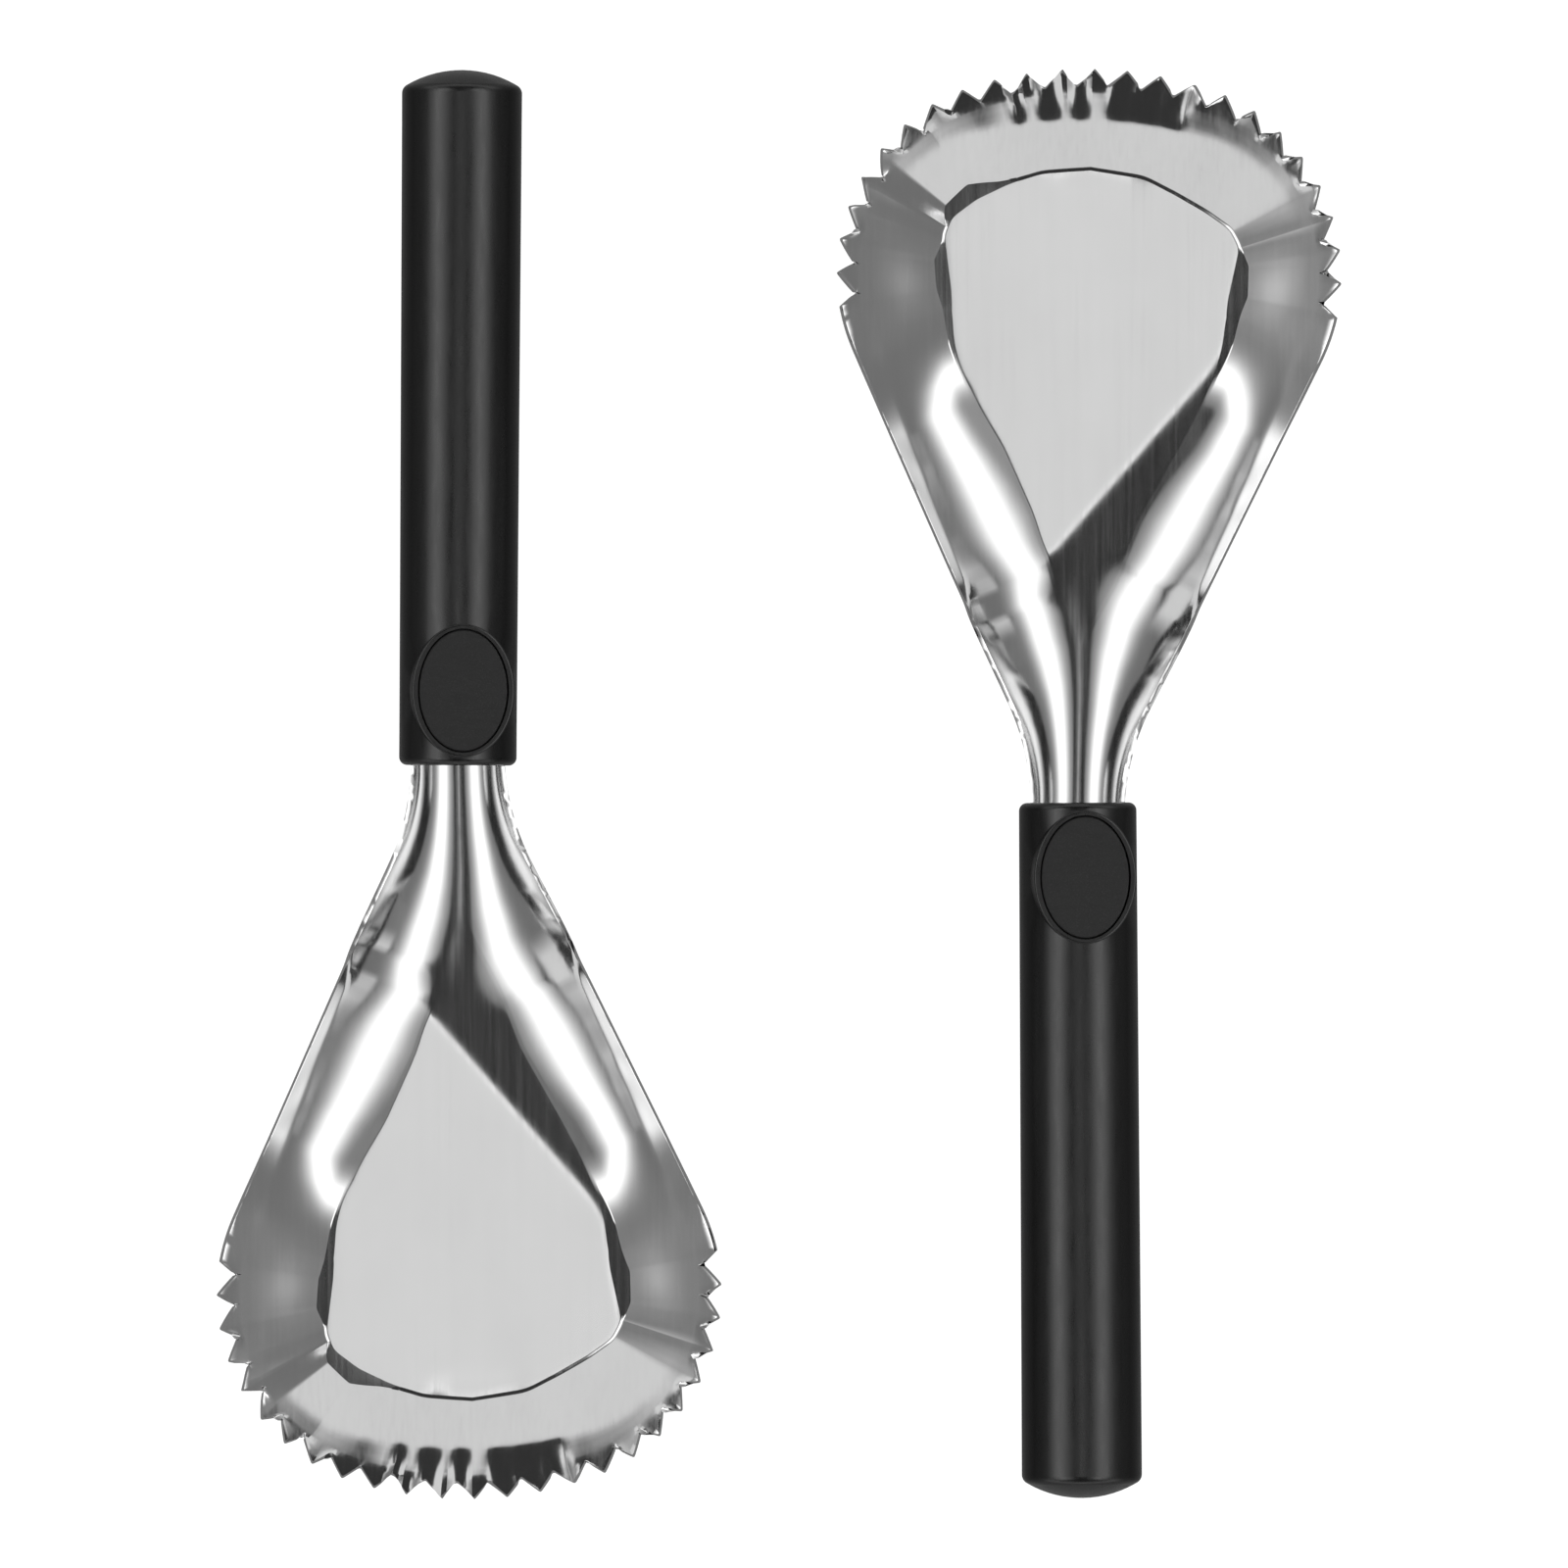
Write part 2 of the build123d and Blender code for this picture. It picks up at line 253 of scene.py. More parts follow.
@dataclass(frozen=True)
class MattePlate:
    """Matte black cover with fine specks and handling marks."""

    name: str = "matte_cover"

    def make(self) -> bpy.types.Material:
        """Build the material."""
        r = Recipe(self.name)
        speck = r.noise((3800.0, 3800.0, 3800.0), 2.0, 0.6)
        mark = r.noise((240.0, 900.0, 240.0), 3.0, 0.7)
        normal = r.bump(speck, 0.000012)
        r.wire(Base_Color=r.tint(r.remap(speck, 0.0, 1.0, 0.52, 0.8), 0.005, 0.02),
               Roughness=r.remap(mark, 0.5, 0.62), Normal=normal)
        return r.material


@dataclass(frozen=True)
class ScrewSteel:
    """Zinc-plated screw steel with turned marks."""

    name: str = "screw_steel"

    def make(self) -> bpy.types.Material:
        """Build the material."""
        r = Recipe(self.name)
        turned = r.noise((900.0, 900.0, 5000.0), 3.0, 0.6)
        r.wire(Base_Color=r.tint(turned, 0.42, 0.56), Metallic=1.0,
               Roughness=r.remap(turned, 0.22, 0.36), Normal=r.bump(turned, 0.000004))
        return r.material


@dataclass(frozen=True)
class PaleFloor:
    """Bright, faintly mottled table top that throws little light up at the pieces."""

    name: str = "pale_floor"

    def make(self) -> bpy.types.Material:
        """Build the material."""
        r = Recipe(self.name)
        mottle = r.noise((3.0, 3.0, 3.0), 2.0, 0.5)
        seen = r.add("ShaderNodeLightPath").outputs["Is Camera Ray"]
        r.wire(Base_Color=r.tint(mottle, 0.13, 0.16), Roughness=0.8,
               Emission_Color=(1, 1, 1, 1), Emission_Strength=r.remap(seen, 0.16, 1.0, 0.0, 1.0))
        return r.material


def ease(t: np.ndarray | float) -> np.ndarray | float:
    """Smooth step from 0 to 1."""
    t = np.clip(t, 0.0, 1.0)
    return t * t * (3 - 2 * t)


@dataclass(frozen=True)
class RimPlan:
    """The blade's outline seen from above, in its own frame, in millimetres.

    The origin is the centre of the grip's mouth and +Y runs towards the teeth.
    """

    neck_half_width: float = 8.75
    flare_radius: float = 45.0
    flare_start: float = -2.0
    flank_angle: float = 25.0
    head_length: float = 136.1
    end_radius: float = 69.8
    corner_radius: float = 36.5
    tang_length: float = 62.0
    tang_straight: float = 2.5
    tang_taper: float = 40.0
    tang_half_width: float = 5.0
    pitch: float = 6.26
    teeth_a_side: int = 12
    notch: float = 3.13
    lean: float = 1.0

    def __post_init__(self) -> None:
        """Work out where the arcs of the toothed rim touch."""
        slope, lean_cos = tan(radians(self.flank_angle)), cos(radians(self.flank_angle))
        flare_end = self.flare_start + self.flare_radius * sin(radians(self.flank_angle))
        flare_width = self.neck_half_width + self.flare_radius * (1 - lean_cos)
        end_centre = self.head_length - self.end_radius
        offset = flare_width - flare_end * slope - self.corner_radius / lean_cos
        reach = self.end_radius - self.corner_radius
        qa, qb = 1 + slope**2, slope * offset - end_centre
        corner_y = (-qb + sqrt(qb**2 - qa * (offset**2 + end_centre**2 - reach**2))) / qa
        found = {
            "slope": slope, "flare_end": flare_end, "flare_width": flare_width,
            "end_centre": end_centre, "corner_y": corner_y,
            "corner_x": offset + corner_y * slope,
        }
        for name, value in found.items():
            object.__setattr__(self, name, value)
        turn = atan2(self.corner_x, corner_y - end_centre)
        object.__setattr__(self, "touch", turn)
        object.__setattr__(self, "end_run", self.end_radius * turn)
        object.__setattr__(self, "flank_end", corner_y - self.corner_radius * sin(radians(self.flank_angle)))
        corner_turn = pi / 2 + radians(self.flank_angle)
        object.__setattr__(self, "plain_run", self.end_run + self.corner_radius * (corner_turn - turn))

    def width(self, y: float) -> float:
        """Half width of neck and flanks at y, the tang included."""
        if y < -self.tang_straight:
            fade = float(ease((-self.tang_straight - y) / self.tang_taper))
            return self.neck_half_width + (self.tang_half_width - self.neck_half_width) * fade
        if y <= self.flare_start:
            return self.neck_half_width
        if y < self.flare_end:
            drop = sqrt(self.flare_radius**2 - (y - self.flare_start) ** 2)
            return self.neck_half_width + self.flare_radius - drop
        return self.flare_width + (y - self.flare_end) * self.slope

    def turn(self, run: float) -> float:
        """Direction of the rim's outward normal, from +Y, at a run from the middle tooth."""
        if run <= self.end_run:
            return run / self.end_radius
        return self.touch + (run - self.end_run) / self.corner_radius

    def at_run(self, run: float) -> tuple[float, float, float, float]:
        """Point on the rim's arcs and the inward normal there.

        Args:
            run: Distance along the rim from the middle tooth, towards +X.

        Returns:
            x, y of the point and x, y of the unit normal.
        """
        turn = self.turn(run)
        if run <= self.end_run:
            x, y = self.end_radius * sin(turn), self.end_centre + self.end_radius * cos(turn)
        else:
            x = self.corner_x + self.corner_radius * sin(turn)
            y = self.corner_y + self.corner_radius * cos(turn)
        return x, y, -sin(turn), -cos(turn)

    def at_flank(self, y: float) -> tuple[float, float, float, float]:
        """Point on the +X flank at y and the inward normal there, as for at_run."""
        step = 0.01
        lean = atan2(self.width(y + step) - self.width(y - step), 2 * step)
        lean = max(lean, 0.0)
        return self.width(y), y, -cos(lean), sin(lean)


@dataclass(frozen=True)
class Station:
    """One line of the blade's mesh, which runs from the rim inwards on the +X side."""

    place: float  # running coordinate: y on the flanks, and on towards the middle tooth
    x: float
    y: float
    nx: float
    ny: float
    run: float  # along the rim from the middle tooth
    notch: float = 0.0  # depth of the outline's notch here
    shift: float = 0.0  # the notch's sideways shift


@dataclass(frozen=True)
class DishForm:
    """Section of the bowl along the blade: tables of place against size, in mm and degrees."""

    sheet: float = 1.0
    floor: float = 1.1
    ramp_slope: float = 4.85  # the floor of the neck runs down into the bowl
    ramp_start: float = -2.0
    wedge_slope: float = 7.2  # a flat facet beside the floor, on one side only
    wedge_from: tuple = (-5.4, 46.8)
    wedge_to: tuple = (22.5, 80.3)
    wedge_foot: float = 2.0
    trough_radius: float = 30.0  # the neck's round bottom, where it opens into the facet
    edge_left: tuple = ((0, 29), (2.1, 34), (4.65, 40), (5.4, 43), (6.3, 46), (7.6, 48.6), (9.0, 53),
                        (15, 65.7), (19, 72), (23.3, 80), (24.7, 85), (25.4, 95), (26.8, 104.5), (25.5, 108),
                        (21, 111.5), (15, 114.5), (9, 116.6), (0, 117.4))
    edge_right: tuple = ((0, 29), (2.3, 34), (5.6, 40), (7.0, 43.5), (8.4, 47.4), (10.2, 52.5),
                         (17.3, 65.7), (21, 73), (23.9, 80), (25.2, 85), (26, 94), (27.9, 103.5),
                         (26, 107), (21.5, 110), (16, 113), (10, 116), (0, 117.4))
    rim: tuple = ((-62, 6.3), (-44, 6.3), (-34, 7.1), (-24, 8.8), (-14, 10.1), (-4, 11.3), (0, 11.4),
                  (14, 11.3), (22, 12.0), (28, 11.6), (34, 10.5), (40, 9.8), (52, 9.4), (66, 9.3),
                  (75, 9.8))
    flange: tuple = ((34, 0.05), (40, 1.6), (52, 2.0), (66, 2.9), (76, 3.6), (88, 5.5), (98, 6.1),
                     (117, 6.1), (133, 7.0), (144, 8.0), (166, 8.6))
    flange_slope: tuple = ((40, 27), (70, 27), (84, 34), (112, 35), (126, 35), (140, 34.5),
                           (146, 33.5), (166, 33.5))
    hold: tuple = ((46, 0.5), (52, 1.0), (60, 2.6), (76, 3.2))
    low_end: float = 36.5
    crease: tuple = ((36, 0), (43, 9.2), (166, 9.2))
    wall_slope: tuple = ((76, 34.5), (84, 34), (104, 34), (116, 36.5), (126, 37.5), (166, 37.5))
    band_left: tuple = ((70, 0.1), (80, 1.5), (92, 2.8), (103, 2.6), (111, 0.5), (116, 0.5),
                        (122, 2.8), (132, 3.4), (142, 1.4), (150, 0.3), (166, 0.3))
    band_right: tuple = ((70, 0.2), (80, 2.3), (92, 3.6), (103, 2.6), (110, 0.4), (166, 0.3))
    band_slope: float = 6.8
    belly: float = 3.0  # the side walls of the head are a little flatter at half height
    crease_half: float = 0.008
    puckers: tuple = ((-15.5, 1.2), (-9.0, 2.3), (-2.6, 1.8), (6.0, 3.0), (11.5, 4.2), (17.0, 2.6))
    tooth_slope: tuple = ((0, 27), (17, 28), (23, 32), (40, 34.5), (90, 34.5))

    def table(self, name: str, place: float) -> float:
        """Value of a table at a place, straight between its entries."""
        rows = getattr(self, name)
        return float(np.interp(place, [r[0] for r in rows], [r[1] for r in rows]))

    def low(self, x: float, y: float) -> float:
        """Height of the bowl's floor: flat, with the neck's ramp and the facet beside it.

        Args:
            x: Across the blade.
            y: Along the blade, from the grip's mouth.

        Returns:
            The height above the table.
        """
        (ax, ay), (bx, by) = self.wedge_from, self.wedge_to
        steep, long = tan(radians(self.wedge_slope)), hypot(bx - ax, by - ay)
        across, down = steep * (by - ay) / long, steep * (bx - ax) / long
        above = ay - max(y, self.ramp_start)
        rise = -across * ax + (tan(radians(self.ramp_slope)) if above > 0 else down) * above
        rise += across * x * float(ease((y - 16) / (ay - 16)))
        rise += x**2 / (2 * self.trough_radius) * (1 - float(ease((y - 34) / (ay - 34))))
        foot = self.wedge_foot * steep
        if rise < foot:
            rise = max(rise + foot, 0.0) ** 2 / (4 * foot)
        tip = 0.35 * float(ease((y - 109) / 9)) * float(ease((13 - abs(x - 2)) / 8))
        return self.floor + rise + tip

    def edge(self, side: int) -> np.ndarray:
        """Corners of the flat floor's outline on one side, as |x| and y rows."""
        return np.array(self.edge_right if side > 0 else self.edge_left, float)


def crossing(start: tuple[float, float], way: tuple[float, float], line: np.ndarray) -> float | None:
    """Distance along a ray to the first crossing with a polyline.

    Args:
        start: Where the ray begins.
        way: Its unit direction.
        line: The polyline's points as rows.

    Returns:
        The distance, or None where the ray misses the line.
    """
    best = None
    for (x0, y0), (x1, y1) in zip(line[:-1], line[1:]):
        dx, dy = x1 - x0, y1 - y0
        det = way[1] * dx - way[0] * dy
        if abs(det) < 1e-9:
            continue
        t = ((y0 - start[1]) * dx - (x0 - start[0]) * dy) / det
        u = ((y0 - start[1]) * way[0] - (x0 - start[0]) * way[1]) / det
        if t > 0 and -1e-6 <= u <= 1 + 1e-6 and (best is None or t < best):
            best = t
    return best


class SectionShape:
    """Heights across the bowl at one station."""

    samples = 1300

    def __init__(self, form: DishForm, station: "Station", side: int, length: float, low: float,
                 edge_y: float, start: float) -> None:
        """Work out the section.

        Args:
            form: The bowl's tables.
            station: Where the section meets the rim.
            side: +1 or -1, the side of the blade.
            length: From the floor's edge to the rim, along the section.
            low: Height of the floor's edge.
            edge_y: Where the floor's edge is, along the blade.
            start: Slope of the floor at its edge, in radians.
        """
        place = station.place
        self.out = np.linspace(0.0, length, self.samples)
        flange = min(form.table("flange", place), length * 0.5)
        tip = radians(form.table("flange_slope", place) + self._puckered(form, side * station.run))
        depth = form.table("rim", place) - low
        top = 2 * atan2(depth, length)
        top += (radians(form.low_end) - top) * float(ease((place - 28) / 20))
        flank = self._flank(form, place, length, flange, tip, start, top, edge_y)
        head = self._head(form, station, side, length, flange, tip)
        self.height = flank + (head - flank) * float(ease((place - 66) / 15))

    @staticmethod
    def _puckered(form: DishForm, run: float) -> float:
        """Change of the flange's slope where the press has gathered the metal, in degrees."""
        dip = max(float(np.exp(-(((run - at) / wide) ** 4))) for at, wide in form.puckers)
        return -7.0 * dip + 3.0 * (1 - dip) * float(ease((24 - abs(run)) / 8))

    def _grown(self, slope: np.ndarray) -> np.ndarray:
        """Heights from slopes."""
        step = self.out[1] - self.out[0]
        rise = np.tan(slope)
        return np.concatenate([[0.0], np.cumsum((rise[1:] + rise[:-1]) / 2) * step])

    def _flank(self, form: DishForm, place: float, length: float, flange: float, tip: float,
               start: float, top: float, edge_y: float) -> np.ndarray:
        """Section of neck and flank: a narrow flat, one wide arc and, lower down, a flange.

        Args:
            form: The bowl's tables.
            place: Running coordinate of the station.
            length: From the floor's edge to the rim.
            flange: Width of the flange.
            tip: Slope of the flange, in radians.
            start: Slope at the floor's edge.
            top: Slope at the end of the arc.
            edge_y: Where the floor's edge is, along the blade.

        Returns:
            Heights above the floor's edge.
        """
        if edge_y > form.crease[0][0]:
            start = max(start, radians(float(np.interp(edge_y, *zip(*form.crease)))))
        hold = form.table("hold", place) * float(ease((place - 34) / 10))
        flanged = float(ease((place - 30) / 8))
        arc = max(length - (flange + 0.9) * flanged - hold, 4.0)
        rise = sin(start) + (sin(top) - sin(start)) * np.clip((self.out - hold) / arc, 0, 1.12)
        slope = np.arcsin(np.clip(rise, -0.3, 0.995))
        slope = slope + (tip - slope) * flanged * ease((self.out - (length - flange) + 0.4) / 0.8)
        return self._grown(slope)

    def _head(self, form: DishForm, station: "Station", side: int, length: float, flange: float,
              tip: float) -> np.ndarray:
        """Section of the head: floor, narrow band, straight wall, flange and tooth.

        Args:
            form: The bowl's tables.
            station: Where the section meets the rim.
            side: +1 or -1, the side of the blade.
            length: From the floor's edge to the rim.
            flange: Width of the flange.
            tip: Slope of the flange, in radians.

        Returns:
            Heights above the floor's edge.
        """
        band = form.table("band_right" if side > 0 else "band_left", station.place)
        half = form.crease_half
        wall = radians(form.table("wall_slope", station.place))
        belly = np.exp(-(((self.out / length - 0.42) / 0.2) ** 2) - ((station.place - 95) / 9) ** 2)
        wall = wall - radians(form.belly) * belly
        slope = radians(form.band_slope) * ease((self.out + half) / (2 * half))
        slope = slope + (wall - slope) * ease((self.out - band + half) / (2 * half))
        slope = slope + (tip - slope) * ease((self.out - (length - flange) + 1.3) / 2.6)
        tooth = radians(float(np.interp(station.run, *zip(*form.tooth_slope))))
        slope = slope + (tooth - slope) * ease((self.out - length + 4.0) / 1.2)
        return self._grown(slope)

    def at(self, out: float) -> float:
        """Height above the floor at a distance out from the floor's edge."""
        return float(np.interp(out, self.out, self.height))


@dataclass
class ScoopBlade:
    """The steel blade: bowl, toothed rim, channel-shaped neck and tang in one sheet."""

    side: Side
    steel: bpy.types.Material
    skew: float = 1.25
    plan: RimPlan = field(default_factory=RimPlan)
    form: DishForm = field(default_factory=DishForm)
    focus: float = 92.0
    tooth_band: float = 3.8
    wall_rows: int = 18
    flange_rows: int = 5
    floor_rows: int = 14
    seed: int = 11

    def stations(self) -> list[Station]:
        """Stations of the +X half, from the middle tooth to the tang's end."""
        plan, found = self.plan, []
        p = plan.pitch
        shoulder = 0.26
        for tooth in range(plan.teeth_a_side):
            lean = plan.lean * float(ease(((tooth + 0.5) * p - plan.end_run / 2) / plan.end_run))
            root = p / 2
            marks = [(0.0, 0.12), (shoulder, shoulder), (root / 3 + 0.1, root / 3 + 0.1),
                     (root * 2 / 3, root * 2 / 3), (root - shoulder, root - shoulder),
                     (root, root - 0.12), (root + shoulder, root - shoulder),
                     (root * 4 / 3, root * 2 / 3), (root * 5 / 3 - 0.1, root / 3 + 0.1),
                     (p - shoulder, shoulder)]
            for along, depth in marks:
                run = tooth * p + along
                x, y, nx, ny = plan.at_run(run)
                found.append(Station(self._place(run), x, y, nx, ny, run, depth, -lean * depth / root))
        run = plan.teeth_a_side * p
        while run < plan.plain_run - 0.4:
            x, y, nx, ny = plan.at_run(run)
            found.append(Station(self._place(run), x, y, nx, ny, run))
            run += 0.85
        y = plan.flank_end
        while y > -plan.tang_length:
            px, py, nx, ny = plan.at_flank(y)
            found.append(Station(y, px, py, nx, ny, plan.plain_run + (plan.flank_end - y) * 1.103))
            y -= 0.85 if y > 10 else 1.0 if y > -10 else 2.0
        px, py, nx, ny = plan.at_flank(-plan.tang_length)
        found.append(Station(py, px, py, nx, ny, plan.plain_run + (plan.flank_end - py) * 1.103))
        return found

    def _place(self, run: float) -> float:
        """Running coordinate of a point on the head's arcs."""
        return self.plan.flank_end + self.plan.plain_run - run

    def reaches(self, half: list[Station], side: int) -> np.ndarray:
        """Distances from the rim to the floor's edge, or to the spine where there is none.

        Args:
            half: The stations of one side.
            side: +1 or -1 across the blade.

        Returns:
            One distance for each station.
        """
        line = self.form.edge(side)
        found = []
        for s in half:
            spine = s.x / -s.nx if s.nx < -1e-6 else 1e9
            cross = crossing((s.x, s.y), (s.nx, s.ny), line)
            found.append(min(spine, cross) if cross is not None else spine)
        found = np.array(found)
        run = np.array([s.run for s in half])
        spread = np.gradient(run)
        smooth = np.empty_like(found)
        for k, at in enumerate(run):
            weight = np.exp(-(((run - at) / 2.2) ** 2)) * spread
            smooth[k] = (found * weight).sum() / weight.sum()
        mirrored = abs(run) < 3
        smooth[mirrored] = found[mirrored]
        neck = np.array([s.place < 18 for s in half])
        smooth[neck] = found[neck]
        return smooth

    def spoke(self, station: Station, side: int, wall: float, phase: np.ndarray,
              tilt: dict[int, tuple[float, float]]) -> np.ndarray:
        """Points of one mesh line, from the spine to the rim.

        Args:
            station: Where the line meets the rim.
            side: +1 or -1 across the blade.
            wall: From the rim to the floor's edge.
            phase: Phases of the wrinkles.
            tilt: Pitch and roll of each tooth by its number, in radians.

        Returns:
            An array of x, y, z rows in millimetres.
        """
        plan, form = self.plan, self.form
        slope = radians(form.table("flange_slope", station.place))
        inset = form.sheet * (0.97 - (0.97 - sin(slope)) * float(ease((station.place - 10) / 30)))
        if station.place < -plan.tang_straight:
            inset = 0.8
        signed = side * station.run
        length = wall - inset
        edge = (station.x + station.nx * wall, station.y + station.ny * wall)
        low = form.low(side * edge[0], edge[1])
        beyond = form.low(side * (edge[0] - 0.3 * station.nx), edge[1] - 0.3 * station.ny)
        shape = SectionShape(form, station, side, length, low, edge[1], atan2(beyond - low, 0.3))
        zone = 0.35 + (self.tooth_band - inset - 0.35) * float(ease((station.place - 82) / 5))
        zone = min(zone, length * 0.3)
        band = form.table("band_right" if side > 0 else "band_left", station.place)
        band = min(max(band, 0.8), length * 0.3)
        outs = [0.0, 0.16, band - 0.16, band, band + 0.16]
        flange = max(min(form.table("flange", station.place), length * 0.5), zone + 0.6)
        outs += list(np.linspace(outs[-1], length - flange, self.wall_rows + 1)[1:])
        outs += list(np.linspace(length - flange, length - zone, self.flange_rows + 1)[1:])
        spine = self._spine(station, edge)
        rows = []
        for k in range(self.floor_rows):
            t = k / self.floor_rows
            x, y = edge[0] * t, spine + (edge[1] - spine) * t
            rows.append((side * x, y, form.low(side * x, y)))
        for out in outs:
            d = wall - out
            x, y = station.x + station.nx * d, station.y + station.ny * d
            z = low + shape.at(out) + self._wrinkle(station, signed, out, length, phase)
            rows.append((side * x, y, z))
        tooth = int(round(station.run / plan.pitch))
        pitch_tilt, roll_tilt = tilt.get(side * tooth, (0.0, 0.0))
        toothed = float(ease((plan.pitch * plan.teeth_a_side + 3 - station.run) / 3))
        for k in range(1, 4):
            share = k / 3
            d = zone + inset + (station.notch - zone) * share
            shift = station.shift * share
            x = station.x + station.nx * d + station.ny * shift
            y = station.y + station.ny * d - station.nx * shift
            out = wall - d
            z = low + shape.at(out) + self._wrinkle(station, signed, out, length, phase)
            past = max(out - (length - plan.notch), 0.0) * toothed
            z += tan(pitch_tilt) * past
            z += tan(roll_tilt) * (station.run - tooth * plan.pitch) * past / plan.notch
            rows.append((side * x, y, z))
        return np.array(rows)

    def _spine(self, station: Station, edge: tuple[float, float]) -> float:
        """Where a mesh line meets the middle line of the floor.

        Args:
            station: Where the line starts on the rim.
            edge: x and y of the floor's edge on the line.

        Returns:
            y of the meeting point.
        """
        if edge[0] < 0.02 and station.place < 40:
            return edge[1]
        share = float(ease((station.place - 14) / 82))
        return 31.0 + (self.focus - 31.0) * share

    def _wrinkle(self, station: Station, signed: float, out: float, length: float,
                 phase: np.ndarray) -> float:
        """Height of the press wrinkles in the top of the flank and in the flange.

        Args:
            station: Where the mesh line starts on the rim.
            signed: Run along the rim, negative on the -X side.
            out: Distance out from the floor's edge.
            length: From the floor's edge to the rim.
            phase: Phases of the waves.

        Returns:
            The height to add, in millimetres.
        """
        near = float(ease((out - (length - 5.0)) / 4.5))
        flank = float(ease((station.place - 40) / 10)) * (1 - float(ease((station.place - 86) / 10)))
        wave = sin(signed / 12.5 * 2 * pi + phase[2]) + 0.5 * sin(signed / 7.7 * 2 * pi + phase[3])
        return 0.045 * flank * near * wave

    def mesh(self) -> bpy.types.Mesh:
        """Mesh of the blade in its own frame, turned and in metres."""
        rng = np.random.default_rng(self.seed)
        phase = rng.uniform(0, 2 * pi, 8)
        teeth = self.plan.teeth_a_side
        tilt = {}
        for number in range(-teeth, teeth + 1):
            tilt[number] = (radians(rng.normal(0, 2.6)), radians(rng.normal(0, 2.2)))
        half = self.stations()
        sides = {}
        for side in (1, -1):
            reach = self.reaches(half, side)
            sides[side] = [self.spoke(s, side, r, phase, tilt) for s, r in zip(half, reach)]
        lines = list(reversed(sides[1])) + sides[-1][1:]
        count = len(lines[0])
        points = np.concatenate(lines)
        points[:, :2] = self._skewed(points[:, :2])
        points[:, 1] *= self.side.value
        form = bmesh.new()
        verts = [form.verts.new(p * MM) for p in points]
        for i in range(len(lines) - 1):
            for j in range(count - 1):
                quad = [verts[i * count + j], verts[i * count + j + 1],
                        verts[(i + 1) * count + j + 1], verts[(i + 1) * count + j]]
                form.faces.new(quad)
        bmesh.ops.remove_doubles(form, verts=form.verts, dist=0.02 * MM)
        self._fold(form)
        bmesh.ops.recalc_face_normals(form, faces=form.faces)
        if sum(f.normal.z for f in form.faces) < 0:
            bmesh.ops.reverse_faces(form, faces=form.faces)
        mesh = bpy.data.meshes.new("sheet")
        form.to_mesh(mesh)
        form.free()
        return mesh

    @staticmethod
    def _fold(form: bmesh.types.BMesh) -> None:
        """Drop faces that closed up where mesh lines meet on the spine."""
        flat = [f for f in form.faces if f.calc_area() < 1e-12]
        bmesh.ops.delete(form, geom=flat, context="FACES")
        loose = [v for v in form.verts if not v.link_faces]
        bmesh.ops.delete(form, geom=loose, context="VERTS")

    def _skewed(self, flat: np.ndarray) -> np.ndarray:
        """Turn points seen from above to the blade's place in its grip."""
        a = radians(-self.skew)
        spin = np.array([[cos(a), -sin(a)], [sin(a), cos(a)]])
        return flat @ spin.T

    def build(self) -> bpy.types.Object:
        """Make the finished blade in place of its CAD node."""
        name = self.side.name.lower()
        node = f"{name}_blade"
        body = bpy.data.objects.new(f"{name}_scoop_sheet", self.mesh())
        outline = np.array([v.co for v in body.data.vertices])
        bpy.context.scene.collection.objects.link(body)
        thick = body.modifiers.new("thickness", "SOLIDIFY")
        thick.thickness = self.form.sheet * MM
        thick.offset = -1.0
        thick.use_even_offset = False
        thick.use_rim = True
        edge = body.modifiers.new("deburred", "BEVEL")
        edge.width = 0.09 * MM
        edge.segments = 2
        edge.limit_method = "ANGLE"
        edge.angle_limit = radians(62)
        graph = bpy.context.evaluated_depsgraph_get()
        final = bpy.data.meshes.new_from_object(body.evaluated_get(graph))
        body.modifiers.clear()
        body.data = final
        low, high = (np.array(c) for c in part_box(node))
        co = np.zeros(len(final.vertices) * 3)
        final.vertices.foreach_get("co", co)
        co = co.reshape(-1, 3)
        move = (low + high) / 2 - (outline.min(0) + outline.max(0)) / 2
        move[2] = -co[:, 2].min()
        final.vertices.foreach_set("co", (co + move).ravel())
        final.materials.clear()
        final.materials.append(self.steel)
        for face in final.polygons:
            face.use_smooth = True
        final.set_sharp_from_angle(angle=radians(24))
        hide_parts(node)
        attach(body, f"{name}_tool")
        LOG.info("%s: %d faces", body.name, len(final.polygons))
        return body


@dataclass
class GripSet:
    """The moulded pieces of one tool: two shells, the cover and the screw under it."""

    side: Side
    plastic: bpy.types.Material
    cover: bpy.types.Material
    screw: bpy.types.Material

    def dress(self, nodes: dict[str, bpy.types.Object]) -> None:
        """Give the CAD pieces their finishes.

        Args:
            nodes: The frame's objects by node name.
        """
        finish = {"upper_grip": self.plastic, "lower_grip": self.plastic,
                  "cover_cap": self.cover, "tang_screw": self.screw}
        for piece, material in finish.items():
            name = f"{self.side.name.lower()}_{piece}"
            node = nodes[name]
            node.data.materials.clear()
            node.data.materials.append(material)
            LOG.info("%s: %s", name, material.name)


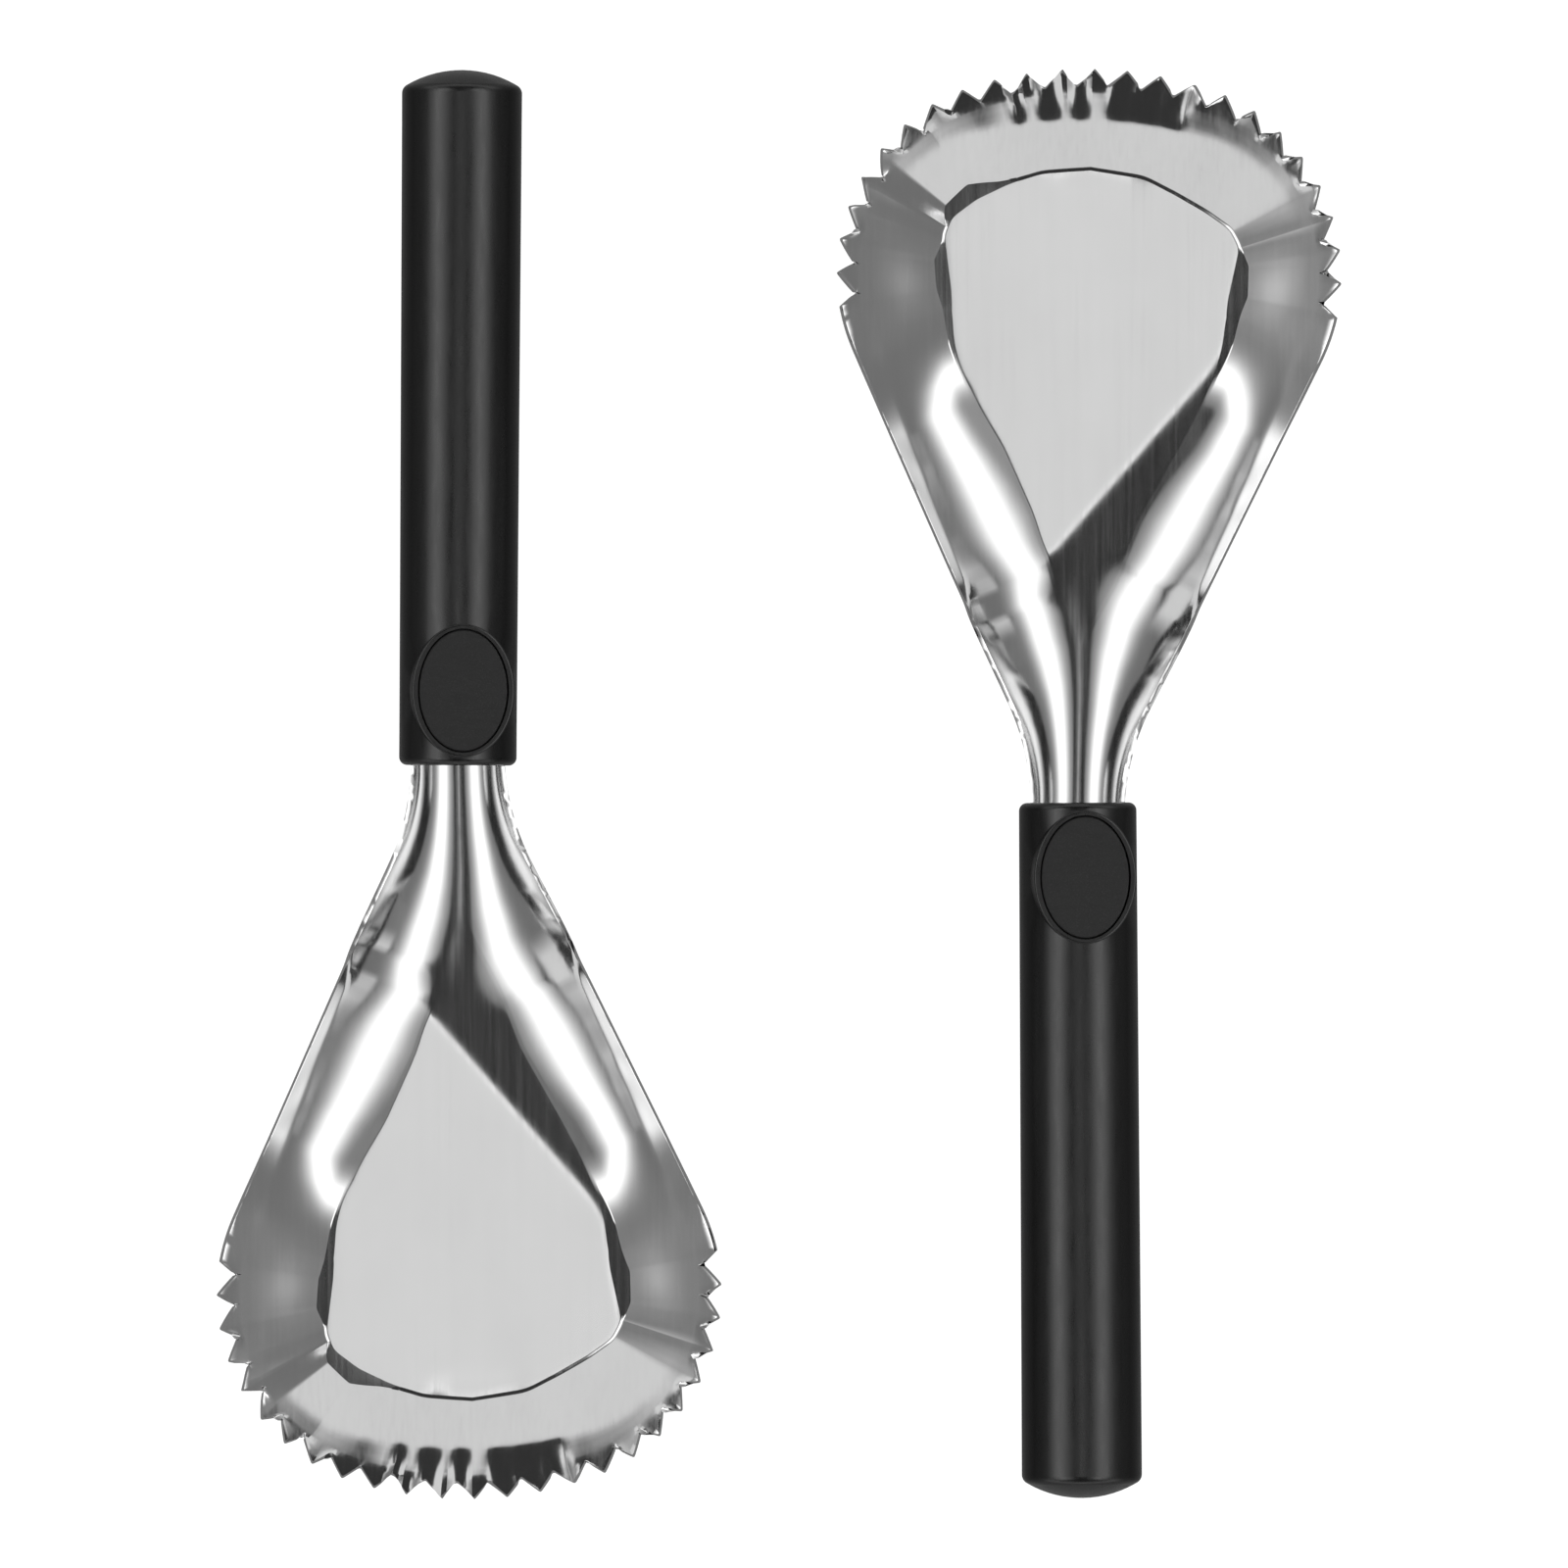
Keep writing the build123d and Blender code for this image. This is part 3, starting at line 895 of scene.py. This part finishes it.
class Surroundings:
    """The studio round the pair: an overhead card, a soft light on each side, bright ends."""

    card: float = 1.03
    dark: float = 0.045
    grey: float = 0.24
    ends: float = 0.98
    glow: float = 2.1
    glow_spread: float = 9.6

    def __init__(self) -> None:
        """Start the world's node tree."""
        self.world = bpy.data.worlds.new("studio")
        self.world.use_nodes = True
        self.tree = self.world.node_tree

    def math(self, kind: str, *values: object) -> bpy.types.NodeSocket:
        """Result of a math node.

        Args:
            kind: The operation.
            *values: Its inputs, numbers or sockets.

        Returns:
            The output socket.
        """
        node = self.tree.nodes.new("ShaderNodeMath")
        node.operation = kind
        for socket, value in zip(node.inputs, values):
            if isinstance(value, bpy.types.NodeSocket):
                self.tree.links.new(value, socket)
            else:
                socket.default_value = value
        return node.outputs[0]

    def step(self, value: bpy.types.NodeSocket, start: float, end: float) -> bpy.types.NodeSocket:
        """Smooth step of a value.

        Args:
            value: The socket to step.
            start: Value that gives 0.
            end: Value that gives 1.

        Returns:
            The output socket.
        """
        node = self.tree.nodes.new("ShaderNodeMapRange")
        node.interpolation_type = "SMOOTHSTEP"
        self.tree.links.new(value, node.inputs[0])
        for socket, number in zip(node.inputs[1:5], (start, end, 0.0, 1.0)):
            socket.default_value = number
        return node.outputs[0]

    def blend(self, low: object, high: object, share: bpy.types.NodeSocket) -> bpy.types.NodeSocket:
        """Value between low and high by share."""
        part = self.math("MULTIPLY", self.math("SUBTRACT", high, low), share)
        return self.math("ADD", low, part)

    def lamp(self, off: bpy.types.NodeSocket, centre: float) -> bpy.types.NodeSocket:
        """Soft light round an angle off the vertical, on grey walls."""
        t = self.math("DIVIDE", self.math("SUBTRACT", off, centre), self.glow_spread)
        bell = self.math("EXPONENT", self.math("MULTIPLY", self.math("MULTIPLY", t, t), -0.5))
        return self.math("ADD", self.math("MULTIPLY", bell, self.glow), self.grey)

    def build(self) -> None:
        """Fill the world's node tree."""
        place = self.tree.nodes.new("ShaderNodeTexCoord")
        split = self.tree.nodes.new("ShaderNodeSeparateXYZ")
        self.tree.links.new(place.outputs["Generated"], split.inputs[0])
        x, y, z = split.outputs
        off = self.math("MULTIPLY", self.math("ARCCOSINE", self.math("MINIMUM", z, 1.0)), 180 / pi)
        flat = self.math("SQRT", self.math("ADD", self.math("MULTIPLY", x, x), self.math("MULTIPLY", y, y)))
        aside = self.math("DIVIDE", self.math("ABSOLUTE", x), self.math("MAXIMUM", flat, 1e-4))
        to_right = self.step(x, -0.004, 0.004)
        sides = self.blend(self.lamp(off, 44.5), self.lamp(off, 41.0), to_right)
        shade = self.blend(self.step(off, 19.2, 20.4), self.step(off, 16.2, 17.4), to_right)
        sides = self.blend(self.dark, sides, shade)
        ends = self.blend(self.dark, self.ends, self.step(off, 65.0, 71.0))
        haze = self.math("SUBTRACT", 1.0, self.step(off, 9.0, 13.5))
        ends = self.math("ADD", ends, self.math("MULTIPLY", haze, 0.12))
        low_lamp = self.math("SUBTRACT", 1.0, self.step(off, 58.0, 68.0))
        aside = self.math("ADD", aside, self.math("MULTIPLY", low_lamp, 0.25))
        room = self.blend(ends, sides, self.step(aside, cos(radians(39)), cos(radians(23))))
        edge = self.math("MULTIPLY", self.step(off, 4.5, 8.0),
                         self.math("SUBTRACT", 1.0, self.step(x, -0.02, 0.08)))
        card = self.math("ADD", self.math("MULTIPLY", edge, 0.45), self.card)
        sky = self.blend(card, room, self.step(off, 8.6, 9.6))
        seen = self.tree.nodes.new("ShaderNodeLightPath").outputs["Is Camera Ray"]
        sky = self.blend(sky, 0.92, seen)
        self.tree.links.new(sky, self.tree.nodes["Background"].inputs["Strength"])
        self.tree.nodes["Background"].inputs["Color"].default_value = (1, 1, 1, 1)
        bpy.context.scene.world = self.world


@dataclass(frozen=True)
class Studio:
    """Floor, surroundings and the camera above the pair."""

    view_width: float = 0.292
    camera_height: float = 3.0
    camera_x: float = 0.0009
    sensor: float = 36.0

    def build(self, floor_finish: bpy.types.Material) -> None:
        """Set up everything round the tools.

        Args:
            floor_finish: Material of the floor.
        """
        self._floor(floor_finish)
        Surroundings().build()
        data = bpy.data.cameras.new("overhead_camera")
        data.type = "PERSP"
        data.sensor_width = self.sensor
        data.lens = self.sensor * self.camera_height / self.view_width
        data.clip_end = 50.0
        camera = bpy.data.objects.new("overhead_camera", data)
        camera.location = (self.camera_x, 0.0, self.camera_height)
        bpy.context.scene.collection.objects.link(camera)
        bpy.context.scene.camera = camera
        bpy.context.scene.view_settings.view_transform = "Standard"

    def _floor(self, finish: bpy.types.Material) -> None:
        """Round table top under the tools."""
        form = bmesh.new()
        bmesh.ops.create_circle(form, cap_ends=True, segments=96, radius=14.0)
        mesh = bpy.data.meshes.new("floor")
        form.to_mesh(mesh)
        form.free()
        mesh.materials.append(finish)
        floor = bpy.data.objects.new("floor", mesh)
        floor.location.z = -0.0004
        bpy.context.scene.collection.objects.link(floor)


def main() -> None:
    """Build the pair of tools and the studio round them."""
    logging.basicConfig(level=logging.INFO, format="%(name)s %(message)s")
    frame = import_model()
    steel = PolishedSheet().make()
    plastic, cover, screw = MouldedGrip().make(), MattePlate().make(), ScrewSteel().make()
    for side in Side:
        ScoopBlade(side, steel).build()
        GripSet(side, plastic, cover, screw).dress(frame["nodes"])
    Studio().build(PaleFloor().make())


if __name__ == "__main__":
    main()
